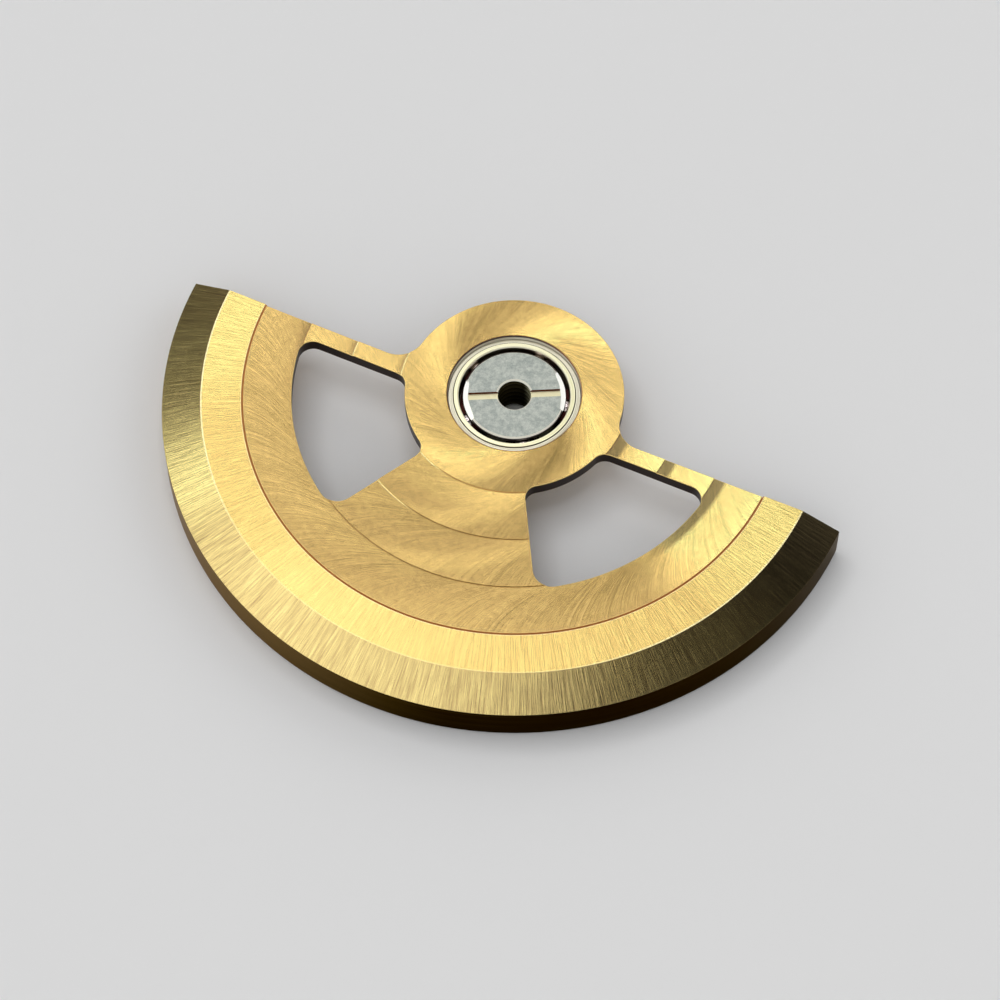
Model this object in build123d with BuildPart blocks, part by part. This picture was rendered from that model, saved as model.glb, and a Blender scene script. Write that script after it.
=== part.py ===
from build123d import *
from math import ceil, cos, pi, radians, sin, sqrt, tan
import os

os.makedirs("parts", exist_ok=True)

# The rotor turns about Z, and the bearing sits on the movement at height zero.
# Its heavy side points to -Y, and the straight edge of its arms runs along X.

# Heights of the plate and of the bearing
plate_top = 1.83
plate_thickness = 0.50
bearing_sink = 0.14
ball_depth = 0.49

# Heavy rim, from the outside inwards
rotor_radius = 12.30
bevel_width = 1.37
bevel_drop = 0.44
rim_flat_width = 1.43
ledge_width = 0.60
rim_proud = 0.05
rim_inner_chamfer = 0.25
rim_outer_chamfer = 0.08

# Outline of the plate, with two windows between hub, arms and spoke
joint_gap = 0.05
plate_rim_width = 1.74
hub_width = 1.53
arm_edge_drop = 0.32
arm_width = 0.63
arm_root_radius = 0.97
spoke_half_angle = 29.2
window_arm_rim_radius = 0.52
window_arm_hub_radius = 0.50
window_spoke_hub_radius = 0.45
window_spoke_rim_radius = 0.65

# Circular stripes, each milled as a slight ramp that rises towards the rim
stripe_pitch = 1.833
stripe_step = 0.03

# Balls and their raceways
ball_count = 5
ball_radius = 0.30
ball_start_angle = 15.6
pitch_radius = 1.83
gap_half_width = 0.12
race_clearance = 0.02

# Outer ring of the bearing
ring_land_width = 0.17
ring_groove_width = 0.03
ring_groove_depth = 0.03
ring_slope_width = 0.15
ring_slope_drop = 0.06
ring_plate_gap = 0.03
ring_chamfer = 0.05
flange_width = 0.60
flange_thickness = 0.25
spigot_step = 0.15
spigot_tail = 0.20

# Inner ring of the bearing: the slotted lock ring, and the core that it clamps
hole_radius = 0.58
hole_chamfer = 0.06
stem_wall = 0.47
stem_fit = 0.01
stem_sink = 0.05
lock_chamfer_width = 0.10
lock_edge_height = 0.053
slot_width = 0.27
slot_depth = 0.10
slot_angle = 27.2
seat_width = 0.39
seat_height = 0.40

# Crown cage between the rings
cage_clearance = 0.03
pocket_clearance = 0.02
cage_depth = 0.56
horn_rise = 0.20
horn_width = 0.24
relief_drop = 0.22

# Drive gear under the plate
tooth_count = 65
gear_rim_width = 0.67
gear_thickness = 0.30
gear_fit = 0.01
addendum = 0.10
dedendum = 0.12
tooth_share = 0.48
shoulder_rise_share = 0.60
shoulder_width_share = 0.64

# Cutting tools run past what they cut by this much
overrun = 1.00

# Heights that follow from the sizes above
plate_base = plate_top - plate_thickness
bearing_top = plate_top - bearing_sink
ball_height = bearing_top - ball_depth
flange_base = plate_base - flange_thickness
gear_base = flange_base - gear_thickness
ring_base = gear_base - spigot_tail

# Raceways: V-grooves at 45 degrees with a flat bottom, between two lips
race_radius = ball_radius + race_clearance
race_flat = race_radius * tan(radians(22.5))
lip_rise = sqrt(2) * race_radius - gap_half_width
outer_lip = pitch_radius + gap_half_width
inner_lip = pitch_radius - gap_half_width
core_race_radius = pitch_radius - race_radius

# Outer ring, from its raceway outwards
land_edge = outer_lip + ring_land_width
groove_edge = land_edge + ring_groove_width
ring_radius = groove_edge + ring_slope_width
flange_radius = ring_radius + flange_width
spigot_radius = ring_radius + spigot_step
gear_root_radius = spigot_radius + gear_fit + gear_rim_width
gear_pitch_radius = gear_root_radius + dedendum

# Inner ring, from its hole outwards
stem_radius = hole_radius + stem_wall
core_bore_radius = stem_radius + stem_fit
seat_radius = core_bore_radius + seat_width

# Plate and rim, from the rim inwards and from the bearing outwards
bevel_radius = rotor_radius - bevel_width
joint_radius = bevel_radius - rim_flat_width
rim_inner_radius = joint_radius - ledge_width
plate_radius = joint_radius - joint_gap
window_outer_radius = joint_radius - plate_rim_width
bore_radius = ring_radius + ring_plate_gap
hub_radius = ring_radius + hub_width
window_arm_edge = arm_edge_drop + arm_width


def polar(radius, angle):
    """Point at a radius and an angle in degrees from +X."""
    return (radius * cos(radians(angle)), radius * sin(radians(angle)))


def race_corner(side, level):
    """Corner of the groove's flat, outside (+1) or inside (-1) the pitch circle, up or down."""
    return (pitch_radius + side * race_radius, ball_height + level * race_flat)


def window():
    """Cut-out left of the spoke, between hub and rim, with its four rounded corners."""
    spoke = -90 - spoke_half_angle
    spoke_hub = polar(hub_radius, spoke)
    spoke_rim = polar(window_outer_radius, spoke)
    arm_hub = (-sqrt(hub_radius**2 - window_arm_edge**2), -window_arm_edge)
    arm_rim = (-sqrt(window_outer_radius**2 - window_arm_edge**2), -window_arm_edge)
    spoke_top = window_arm_edge / cos(radians(spoke_half_angle))
    with BuildSketch() as opening:
        Circle(window_outer_radius)
        Circle(hub_radius, mode=Mode.SUBTRACT)
        with BuildLine():
            Polyline(
                polar(spoke_top, spoke),
                polar(2 * window_outer_radius, spoke),
                (-2 * window_outer_radius, -2 * window_outer_radius),
                (-2 * window_outer_radius, -window_arm_edge),
                close=True,
            )
        make_face(mode=Mode.INTERSECT)
        corners = (
            (arm_rim, window_arm_rim_radius),
            (arm_hub, window_arm_hub_radius),
            (spoke_hub, window_spoke_hub_radius),
            (spoke_rim, window_spoke_rim_radius),
        )
        for corner, radius in corners:
            fillet(opening.vertices().sort_by_distance(corner)[:1], radius)
    return opening.sketch


def tooth():
    """One tooth, with radial flanks below the pitch circle and a pointed arch above it."""
    half_angle = 180 / tooth_count * tooth_share
    shoulder = gear_pitch_radius + addendum * shoulder_rise_share
    shoulder_angle = half_angle * shoulder_width_share
    foot = gear_root_radius - dedendum
    with BuildSketch() as face:
        with BuildLine():
            Polyline(
                polar(foot, -half_angle),
                polar(gear_pitch_radius, -half_angle),
                polar(shoulder, -shoulder_angle),
                polar(gear_pitch_radius + addendum, 0),
                polar(shoulder, shoulder_angle),
                polar(gear_pitch_radius, half_angle),
                polar(foot, half_angle),
                close=True,
            )
        make_face()
    return face.sketch


# Pierced plate: a striped disc cut to the outline of hub, arms and spoke
plate_profile = [(0, plate_base), (plate_radius, plate_base), (plate_radius, plate_top)]
for stripe in range(1, ceil((joint_radius - bore_radius) / stripe_pitch)):
    stripe_radius = joint_radius - stripe * stripe_pitch
    plate_profile += [(stripe_radius, plate_top - stripe_step), (stripe_radius, plate_top)]
plate_profile += [(0, plate_top - stripe_step)]
arm_root_x = sqrt(hub_radius**2 - arm_edge_drop**2)
with BuildPart() as rotor_plate:
    with BuildSketch(Plane.XZ):
        with BuildLine():
            Polyline(*plate_profile, close=True)
        make_face()
    revolve(axis=Axis.Z)
    with BuildSketch() as plate_outline:
        Circle(plate_radius)
        with Locations((0, -arm_edge_drop)):
            Rectangle(
                2 * plate_radius,
                2 * plate_radius,
                align=(Align.CENTER, Align.MIN),
                mode=Mode.SUBTRACT,
            )
        Circle(hub_radius)
        for arm_root in ((arm_root_x, -arm_edge_drop), (-arm_root_x, -arm_edge_drop)):
            fillet(plate_outline.vertices().sort_by_distance(arm_root)[:1], arm_root_radius)
        left_window = window()
        add(left_window, mode=Mode.SUBTRACT)
        add(mirror(left_window, about=Plane.YZ, mode=Mode.PRIVATE), mode=Mode.SUBTRACT)
        Circle(bore_radius, mode=Mode.SUBTRACT)
    extrude(amount=plate_top + overrun, mode=Mode.INTERSECT)
rotor_plate.part.label = "rotor_plate"
export_step(rotor_plate.part, "parts/rotor_plate.step")

# Heavy rim: a half ring with a ledge for the plate, a flat top and a bevel
with BuildPart() as rim_weight:
    with BuildSketch(Plane.XZ):
        with BuildLine():
            Polyline(
                (rim_inner_radius, rim_inner_chamfer),
                (rim_inner_radius + rim_inner_chamfer, 0),
                (rotor_radius - rim_outer_chamfer, 0),
                (rotor_radius, rim_outer_chamfer),
                (rotor_radius, plate_top - bevel_drop),
                (bevel_radius, plate_top),
                (joint_radius, plate_top),
                (joint_radius, plate_base),
                (rim_inner_radius, plate_base),
                close=True,
            )
        make_face()
    revolve(axis=Axis.Z)
    split(bisect_by=Plane.XZ.offset(arm_edge_drop - rim_proud))
rim_weight.part.label = "rim_weight"
export_step(rim_weight.part, "parts/rim_weight.step")

# Outer ring: raceway inside, flange under the plate, spigot for the gear below
with BuildPart() as bearing_outer_ring:
    with BuildSketch(Plane.XZ):
        with BuildLine():
            Polyline(
                (outer_lip, bearing_top),
                (land_edge, bearing_top),
                (land_edge, bearing_top - ring_groove_depth),
                (groove_edge, bearing_top - ring_groove_depth),
                (ring_radius, bearing_top - ring_groove_depth - ring_slope_drop),
                (ring_radius, plate_base),
                (flange_radius, plate_base),
                (flange_radius, flange_base),
                (spigot_radius, flange_base),
                (spigot_radius, ring_base + ring_chamfer),
                (spigot_radius - ring_chamfer, ring_base),
                (outer_lip + ring_chamfer, ring_base),
                (outer_lip, ring_base + ring_chamfer),
                (outer_lip, ball_height - lip_rise),
                race_corner(1, -1),
                race_corner(1, 1),
                (outer_lip, ball_height + lip_rise),
                close=True,
            )
        make_face()
    revolve(axis=Axis.Z)
bearing_outer_ring.part.label = "bearing_outer_ring"
export_step(bearing_outer_ring.part, "parts/bearing_outer_ring.step")

# Drive gear: a thin toothed ring pressed on the spigot, against the flange
with BuildPart() as drive_gear:
    with BuildSketch(Plane.XY.offset(gear_base)):
        Circle(gear_root_radius)
        with PolarLocations(0, tooth_count):
            add(tooth())
        Circle(spigot_radius + gear_fit, mode=Mode.SUBTRACT)
    extrude(amount=gear_thickness)
drive_gear.part.label = "drive_gear"
export_step(drive_gear.part, "parts/drive_gear.step")

# Core: the lower half of the inner ring, with the seat that meets the movement
with BuildPart() as bearing_core:
    with BuildSketch(Plane.XZ):
        with BuildLine():
            Polyline(
                (core_race_radius, ball_height),
                (core_bore_radius, ball_height),
                (core_bore_radius, 0),
                (seat_radius, 0),
                (seat_radius, seat_height),
                (inner_lip, seat_height),
                (inner_lip, ball_height - lip_rise),
                race_corner(-1, -1),
                close=True,
            )
        make_face()
    revolve(axis=Axis.Z)
bearing_core.part.label = "bearing_core"
export_step(bearing_core.part, "parts/bearing_core.step")

# Lock ring: the upper half of the inner ring, a hollow screw with a driver slot
with BuildPart() as slotted_lock_ring:
    with BuildSketch(Plane.XZ):
        with BuildLine():
            Polyline(
                (core_race_radius, ball_height),
                (stem_radius, ball_height),
                (stem_radius, stem_sink),
                (hole_radius + hole_chamfer, stem_sink),
                (hole_radius, stem_sink + hole_chamfer),
                (hole_radius, bearing_top - hole_chamfer),
                (hole_radius + hole_chamfer, bearing_top),
                (inner_lip - lock_chamfer_width, bearing_top),
                (inner_lip, ball_height + lip_rise + lock_edge_height),
                (inner_lip, ball_height + lip_rise),
                race_corner(-1, 1),
                close=True,
            )
        make_face()
    revolve(axis=Axis.Z)
    with BuildSketch(Plane.XY.offset(bearing_top)):
        Rectangle(2 * pitch_radius, slot_width, rotation=slot_angle)
    extrude(amount=-slot_depth, mode=Mode.SUBTRACT)
slotted_lock_ring.part.label = "slotted_lock_ring"
export_step(slotted_lock_ring.part, "parts/slotted_lock_ring.step")

# Crown cage: a ring below the balls, with a pair of horns round each of them
cage_inner = inner_lip + cage_clearance
cage_outer = outer_lip - cage_clearance
cage_floor = ball_height - cage_depth
pocket_radius = ball_radius + pocket_clearance
ball_spacing = 2 * pitch_radius * sin(pi / ball_count)
relief_width = ball_spacing - 2 * (pocket_radius + horn_width)
with BuildPart() as ball_cage:
    with BuildSketch(Plane.XY.offset(cage_floor)):
        Circle(cage_outer)
        Circle(cage_inner, mode=Mode.SUBTRACT)
    extrude(amount=ball_height + horn_rise - cage_floor)
    with Locations((0, 0, ball_height)):
        with PolarLocations(pitch_radius, ball_count, start_angle=ball_start_angle):
            Cylinder(pocket_radius, overrun, rotation=(0, 90, 0), mode=Mode.SUBTRACT)
    with Locations((0, 0, ball_height - relief_drop)):
        relief_angle = ball_start_angle + 180 / ball_count
        with PolarLocations(pitch_radius, ball_count, start_angle=relief_angle):
            Box(
                overrun,
                relief_width,
                relief_drop + horn_rise + overrun,
                align=(Align.CENTER, Align.CENTER, Align.MIN),
                mode=Mode.SUBTRACT,
            )
ball_cage.part.label = "ball_cage"
export_step(ball_cage.part, "parts/ball_cage.step")

# Balls, evenly spaced on the pitch circle
for number in range(ball_count):
    ball_angle = ball_start_angle + number * 360 / ball_count
    with BuildPart() as ball:
        with Locations((*polar(pitch_radius, ball_angle), ball_height)):
            Sphere(ball_radius)
    ball.part.label = f"ball_{number + 1}"
    export_step(ball.part, f"parts/ball_{number + 1}.step")
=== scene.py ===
import bpy
import numpy as np
from mathutils import Matrix
from mathutils.geometry import delaunay_2d_cdt


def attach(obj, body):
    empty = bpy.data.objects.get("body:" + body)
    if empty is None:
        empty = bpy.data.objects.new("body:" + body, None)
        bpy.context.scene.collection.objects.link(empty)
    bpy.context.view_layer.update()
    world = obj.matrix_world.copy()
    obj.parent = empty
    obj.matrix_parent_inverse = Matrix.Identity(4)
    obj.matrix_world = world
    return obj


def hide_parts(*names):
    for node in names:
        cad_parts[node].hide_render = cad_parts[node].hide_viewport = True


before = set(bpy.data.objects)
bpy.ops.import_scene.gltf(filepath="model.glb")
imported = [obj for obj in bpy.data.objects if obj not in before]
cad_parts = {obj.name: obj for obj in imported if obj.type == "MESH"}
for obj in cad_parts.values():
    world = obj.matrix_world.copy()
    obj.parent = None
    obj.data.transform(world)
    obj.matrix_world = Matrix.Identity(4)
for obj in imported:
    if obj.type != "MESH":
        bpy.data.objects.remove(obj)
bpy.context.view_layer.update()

MM = 0.001

# Sizes below are in millimetres, and a mesh is scaled to metres when it is made.
# The rotor turns about Z, and its heavy side points to -Y.

# Plate and rim
plate_top = 1.83
plate_thickness = 0.50
rotor_radius = 12.30
bevel_width = 1.37
bevel_drop = 0.44
rim_flat_width = 1.43
ledge_width = 0.60
rim_proud = 0.05
rim_inner_chamfer = 0.25
rim_outer_chamfer = 0.08
joint_gap = 0.05
joint_depth = 0.045
joint_slit = 0.005
plate_rim_width = 1.74
hub_width = 1.53
arm_edge_drop = 0.32
arm_width = 0.63
arm_root_radius = 0.97
plate_end_corner = 0.03
spoke_half_angle = np.radians(29.2)
arm_rim_corner = 0.52
arm_hub_corner = 0.50
spoke_hub_corner = 0.45
spoke_rim_corner = 0.65
stripe_pitch = 1.833
stripe_step = 0.03
stripe_wall = 0.008

# Bearing
bearing_sink = 0.14
ball_depth = 0.49
ball_count = 5
ball_radius = 0.30
ball_start_angle = np.radians(15.6)
pitch_radius = 1.83
gap_half_width = 0.12
race_clearance = 0.02
ring_land_width = 0.17
ring_groove_width = 0.03
ring_groove_depth = 0.03
ring_slope_width = 0.15
ring_slope_drop = 0.06
terrace_count = 3
ring_plate_gap = 0.03
bore_edge_drop = 0.08
ring_chamfer = 0.05
lip_chamfer_width = 0.03
lip_chamfer_drop = 0.05
flange_width = 0.60
flange_thickness = 0.25
spigot_step = 0.15
spigot_tail = 0.20
hole_radius = 0.58
hole_chamfer = 0.06
stem_wall = 0.47
stem_fit = 0.01
stem_sink = 0.05
lock_overhang = 0.08
lock_underside = 0.02
lock_chamfer_width = 0.08
lock_edge_height = 0.10
crescent_angle = np.radians(31)
crescent_half_angle = np.radians(27)
crescent_end_wall = np.radians(0.4)
crescent_width = 0.18
crescent_taper = 0.07
crescent_depth = 0.115
slot_width = 0.27
slot_depth = 0.10
slot_wall = 0.012
slot_angle = np.radians(27.2)
seat_width = 0.39
seat_height = 0.40
thread_pitch = 0.25
thread_depth = 0.09
thread_runout = 0.12
thread_steps = 160

# Drive gear
tooth_count = 65
gear_rim_width = 0.67
gear_thickness = 0.30
gear_fit = 0.01
addendum = 0.10
dedendum = 0.12
tooth_squareness = 1.9

# How far sharp edges are broken, and how finely curves are divided
edge_break = 0.02
fine_break = 0.008
end_break = 0.015
break_steps = 3
point_spacing = 0.07
point_turn = np.radians(8)
ring_steps = 240
stripe_edge_steps = 3
tooth_steps = 24
crescent_steps = 60
ball_steps = 16

# Limits of the meshes: points closer than the weld are one, heights closer than the match
# are the same, a sheet is worked out in parts, a corner's normal may lean so far from its
# face, and an edge counts from so much lean
weld = 1e-7
weld_digits = 5
height_match = 1e-6
angle_digits = 9
slab_parts = 40
skew_limit = 0.3
edge_lean = 0.1

# Heights and radii that follow from the sizes above
plate_base = plate_top - plate_thickness
bearing_top = plate_top - bearing_sink
ball_height = bearing_top - ball_depth
flange_base = plate_base - flange_thickness
gear_base = flange_base - gear_thickness
ring_base = gear_base - spigot_tail
race_radius = ball_radius + race_clearance
race_flat = race_radius * np.tan(np.radians(22.5))
lip_rise = np.sqrt(2) * race_radius - gap_half_width
outer_lip = pitch_radius + gap_half_width
inner_lip = pitch_radius - gap_half_width
core_race_radius = pitch_radius - race_radius
land_edge = outer_lip + ring_land_width
groove_edge = land_edge + ring_groove_width
ring_radius = groove_edge + ring_slope_width
flange_radius = ring_radius + flange_width
spigot_radius = ring_radius + spigot_step
gear_bore = spigot_radius + gear_fit
gear_root_radius = gear_bore + gear_rim_width
gear_tip_radius = gear_root_radius + dedendum + addendum
stem_radius = hole_radius + stem_wall
lock_radius = inner_lip + lock_overhang
lock_face_radius = lock_radius - lock_chamfer_width
core_bore_radius = stem_radius + stem_fit
seat_radius = core_bore_radius + seat_width
bevel_radius = rotor_radius - bevel_width
joint_radius = bevel_radius - rim_flat_width
rim_inner_radius = joint_radius - ledge_width
plate_radius = joint_radius - joint_gap
window_radius = joint_radius - plate_rim_width
bore_radius = ring_radius + ring_plate_gap
hub_radius = ring_radius + hub_width
slot_half = slot_width / 2
slot_floor = bearing_top - slot_depth
lock_edge = ball_height + lip_rise + lock_edge_height
window_drop = arm_edge_drop + arm_width
rim_end = arm_edge_drop - rim_proud


def heading(angle):
    """Unit vectors at these angles from +X: the last axis holds cosine and sine."""
    return np.stack([np.cos(angle), np.sin(angle)], -1)


def arc(centre, radius, start, end):
    """Points on a circular arc, evenly spaced between two angles, ends included."""
    turn = abs(end - start)
    steps = max(2, int(np.ceil(turn * radius / point_spacing)), int(np.ceil(turn / point_turn)))
    return np.asarray(centre) + radius * heading(np.linspace(start, end, steps + 1))


def full_turn(steps=ring_steps):
    """Evenly spaced angles of one turn, without its end."""
    return np.arange(steps) / steps * 2 * np.pi


def circle(radius, steps=ring_steps):
    """Evenly spaced points on a circle about the axis, counter-clockwise."""
    return radius * heading(full_turn(steps))


def unit(vectors):
    """Vectors scaled to length 1."""
    return vectors / np.linalg.norm(vectors, axis=-1, keepdims=True)


def raised(flat, height):
    """Points in space from their places in plan and their heights."""
    height = np.broadcast_to(height, flat.shape[:-1])
    return np.concatenate([flat, height[..., None]], -1)


def ease(corners, size):
    """A profile in radius and height with its corners broken by small arcs.

    It runs counter-clockwise round the solid, and its first and last points stay. Each
    corner between becomes an arc that touches both its sides: its centre lies on the
    corner's bisector, and its points are the centre plus the radius times the outward
    normal, which turns evenly from one side's normal to the other's.
    Returns points and outward normals."""
    corners = np.asarray(corners, float)
    side = unit(np.diff(corners, axis=0))
    normal = np.stack([side[:, 1], -side[:, 0]], 1)
    turn = np.arctan2(
        normal[:-1, 0] * normal[1:, 1] - normal[:-1, 1] * normal[1:, 0],
        (normal[:-1] * normal[1:]).sum(1),
    )
    bisector = (normal[:-1] + normal[1:]) / (2 * np.cos(turn / 2) ** 2)[:, None]
    centre = corners[1:-1] - np.sign(turn)[:, None] * size * bisector
    first = np.arctan2(normal[:-1, 1], normal[:-1, 0])
    angle = first[:, None] + turn[:, None] * np.linspace(0, 1, break_steps + 1)
    bent = heading(angle)
    eased = centre[:, None] + (np.sign(turn) * size)[:, None, None] * bent
    points = np.concatenate([corners[:1], eased.reshape(-1, 2), corners[-1:]])
    normals = np.concatenate([normal[:1], bent.reshape(-1, 2), normal[-1:]])
    return points, normals


def ring_profile(corners, size=edge_break):
    """ease() for a closed profile: it starts and ends half way along its first side."""
    corners = np.asarray(corners, float)
    middle = (corners[:1] + corners[1:2]) / 2
    return ease(np.concatenate([middle, corners[1:], corners[:1], middle]), size)


def grid_faces(rows, columns, wrap=False):
    """Quads of a grid of points, which also join its last row to its first if wrapped."""
    row = np.arange(rows if wrap else rows - 1)
    i, j = np.meshgrid(row, np.arange(columns - 1), indexing="ij")
    k = (i + 1) % rows
    corners = [i * columns + j, k * columns + j, k * columns + j + 1, i * columns + j + 1]
    return np.stack(corners, -1).reshape(-1, 4)


def revolve(profile, angles, finish=0):
    """A profile carried round the axis: each point (radius, height) goes to
    (radius cos a, radius sin a, height) at every angle a, and so does its normal.
    The finish is one number, or one for each side of the profile."""
    (points, normals), spin = profile, heading(angles)
    finish = np.tile(np.broadcast_to(finish, len(points) - 1), len(angles))

    def carried(pairs):
        return raised(spin[:, None] * pairs[:, :1], pairs[:, 1]).reshape(-1, 3)

    faces = grid_faces(len(angles), len(points), wrap=True)
    return carried(points), faces, carried(normals)[faces], finish


def rim_patches(profile, finishes):
    """The half ring of the rim, with the finish of each side of its profile; 2 at its ends.

    Its profile is carried through every angle from one end plane to the other, so a point
    at radius r starts at asin(end / r) past -X and stops as much short of +X. The ends
    are broken by an arc: there the profile shrinks along its own normals by b (1 - cos t)
    while the plane moves out by b sin t, and a flat cap closes it."""
    points, normals = profile
    inner = rim_end + end_break
    share = np.linspace(0, 1, ring_steps + 1)[:, None]
    lean = np.arcsin(inner / points[:, 0])
    angle = -np.pi + lean + share * (np.pi - 2 * lean)
    body = raised(points[:, :1] * heading(angle), points[:, 1])
    body_normal = raised(normals[:, :1] * heading(angle), normals[:, 1])
    turn = np.linspace(0, np.pi / 2, break_steps + 1)[1:, None]
    shrunk = points - end_break * (1 - np.cos(turn))[..., None] * normals
    depth = inner - end_break * np.sin(turn) + 0 * shrunk[..., 0]
    across = np.sqrt(shrunk[..., 0] ** 2 - depth**2)
    end = np.stack([across, -depth, shrunk[..., 1]], -1)
    tilt = np.arcsin(depth / shrunk[..., 0])
    outward = np.cos(turn) * normals[:, 0]
    lean_out = np.sin(turn) - outward * np.sin(tilt)
    end_normal = np.stack([outward * np.cos(tilt), lean_out, np.cos(turn) * normals[:, 1]], -1)
    flip = np.array([-1, 1, 1])
    grid = np.concatenate([end[::-1] * flip, body, end])
    grid_normal = np.concatenate([end_normal[::-1] * flip, body_normal, end_normal])
    rows, columns = grid.shape[:2]
    faces = grid_faces(rows, columns)
    kinds = np.tile(finishes, rows - 1)
    patches = [(grid.reshape(-1, 3), faces, grid_normal.reshape(-1, 3)[faces], kinds)]
    cap = np.arange(columns - 1)[None]
    out = np.array([0, 1, 0.0])
    for edge, order in ((grid[0], cap), (grid[-1], cap[:, ::-1])):
        patches.append((edge, order, np.broadcast_to(out, order.shape + (3,)), 2))
    return patches


def fillet(distance, drop, radius):
    """Centre of a corner arc that lies so far from the axis, left of it, and so far below
    the line that it touches."""
    height = -(drop + radius)
    return np.array([-np.sqrt(distance**2 - height**2), height])


def turned(point, angle):
    """A point turned about the axis by an angle."""
    c, s = np.cos(angle), np.sin(angle)
    return np.array([c * point[0] - s * point[1], s * point[0] + c * point[1]])


def bearing_of(point):
    """Angle of a point from +X, from 0 to a full turn."""
    return np.arctan2(point[1], point[0]) % (2 * np.pi)


def window_loop():
    """Outline of the window left of the spoke, counter-clockwise: two straight sides, two
    arcs about the axis and four corner arcs, each tangent to its two neighbours."""
    spoke = 1.5 * np.pi - spoke_half_angle
    lean = spoke - np.pi
    arm_rim = fillet(window_radius - arm_rim_corner, window_drop, arm_rim_corner)
    arm_hub = fillet(hub_radius + arm_hub_corner, window_drop, arm_hub_corner)
    flip = np.array([1, -1])
    spoke_rim = fillet(window_radius - spoke_rim_corner, 0, spoke_rim_corner)
    spoke_rim = turned(spoke_rim * flip, lean)
    spoke_hub = fillet(hub_radius + spoke_hub_corner, 0, spoke_hub_corner)
    spoke_hub = turned(spoke_hub * flip, lean)
    right, full = np.pi / 2, 2 * np.pi
    pieces = [
        arc(arm_rim, arm_rim_corner, right, bearing_of(arm_rim)),
        arc((0, 0), window_radius, bearing_of(arm_rim), bearing_of(spoke_rim))[1:-1],
        arc(spoke_rim, spoke_rim_corner, bearing_of(spoke_rim), spoke + right),
        arc(spoke_hub, spoke_hub_corner, spoke + right, bearing_of(spoke_hub) + np.pi),
        arc((0, 0), hub_radius, bearing_of(spoke_hub), bearing_of(arm_hub))[1:-1],
        arc(arm_hub, arm_hub_corner, bearing_of(arm_hub) + np.pi, full + right),
    ]
    return np.concatenate(pieces)


def plate_loops():
    """Outline of the plate: rim arc, two arms, hub, then its windows and its bore.

    Loops run with the metal on their left."""
    right = np.pi / 2
    mirror = np.array([-1, 1])
    end = fillet(plate_radius - plate_end_corner, arm_edge_drop, plate_end_corner) * mirror
    root_height = arm_root_radius - arm_edge_drop
    root_reach = np.sqrt((hub_radius + arm_root_radius) ** 2 - root_height**2)
    root = np.array([root_reach, root_height])
    root_angle = bearing_of(root)
    end_angle = bearing_of(end) - 2 * np.pi
    pieces = [
        arc((0, 0), plate_radius, -np.pi - end_angle, end_angle)[1:-1],
        arc(end, plate_end_corner, end_angle, right),
        arc(root, arm_root_radius, 3 * right, root_angle + np.pi),
        arc((0, 0), hub_radius, root_angle, np.pi - root_angle)[1:-1],
        arc(root * mirror, arm_root_radius, -root_angle, -right),
        arc(end * mirror, plate_end_corner, right, np.pi - end_angle),
    ]
    window, bore = window_loop(), circle(bore_radius)
    return [np.concatenate(pieces), window[::-1], window * mirror, bore[::-1]]


def gear_loops():
    """Toothed outline of the gear, and its bore. The outline's radius follows a cosine wave,
    one per tooth, that a hyperbolic tangent squares off at root and tip."""
    angle = full_turn(tooth_steps * tooth_count)
    wave = np.tanh(tooth_squareness * np.cos(tooth_count * angle)) / np.tanh(tooth_squareness)
    radius = gear_root_radius + (gear_tip_radius - gear_root_radius) * (1 + wave) / 2
    return [radius[:, None] * heading(angle), circle(gear_bore)[::-1]]


def side_normals(loop):
    """Outward unit normals of a closed loop: its direction, from the point before to the
    point after, turned a quarter to the right."""
    along = unit(np.roll(loop, -1, 0) - np.roll(loop, 1, 0))
    return np.stack([along[:, 1], -along[:, 0]], 1)


def sides(loops):
    """Both ends of every side of closed loops: all the first ones, and all the second."""
    return np.concatenate(loops), np.concatenate([np.roll(loop, -1, 0) for loop in loops])


def inside(points, loops):
    """Which points lie inside: a ray from each crosses the loops an odd number of times."""
    start, stop = sides(loops)
    x, y = points[:, :1], points[:, 1:]
    spans = (start[:, 1] > y) != (stop[:, 1] > y)
    rise = stop[:, 1] - start[:, 1]
    rise = np.where(rise == 0, 1, rise)
    cut = start[:, 0] + (y - start[:, 1]) / rise * (stop[:, 0] - start[:, 0])
    return (spans & (x < cut)).sum(1) % 2 == 1


def edge_distance(points, loops):
    """Distance of each point to the nearest side of the loops, and the outward normal there,
    blended between the normals of that side's two ends."""
    start, stop = sides(loops)
    first, second = sides([side_normals(loop) for loop in loops])
    along = stop - start
    length = (along**2).sum(1)
    offset = points[:, None] - start
    share = np.clip((offset * along).sum(2) / length, 0, 1)
    gap = ((offset - share[..., None] * along) ** 2).sum(2)
    nearest = gap.argmin(1)
    row = np.arange(len(points))
    part = share[row, nearest][:, None]
    normal = unit((1 - part) * first[nearest] + part * second[nearest])
    return np.sqrt(gap[row, nearest]), normal


def flat_mesh(loops, rings, insets):
    """Triangles that fill the loops, with edges along the loops, along the loops moved
    inwards by each inset, and along every ring or line given."""
    lines = []
    for loop in loops:
        lines += [loop - inset * side_normals(loop) for inset in insets]
    lines += list(rings)
    starts = np.cumsum([0] + [len(line) for line in lines[:-1]])
    edges = []
    for first, line in zip(starts, lines):
        index = first + np.arange(len(line))
        edges.append(np.stack([index, np.roll(index, -1)], 1))
    points = np.concatenate(lines)
    found = delaunay_2d_cdt(points.tolist(), np.concatenate(edges).tolist(), [], 0, weld, False)
    flat = np.array([tuple(v) for v in found[0]])
    faces = np.array(found[2])
    faces = faces[inside(flat[faces].mean(1), loops)]
    used, faces = np.unique(faces, return_inverse=True)
    return flat[used], faces.reshape(-1, 3)


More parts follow.
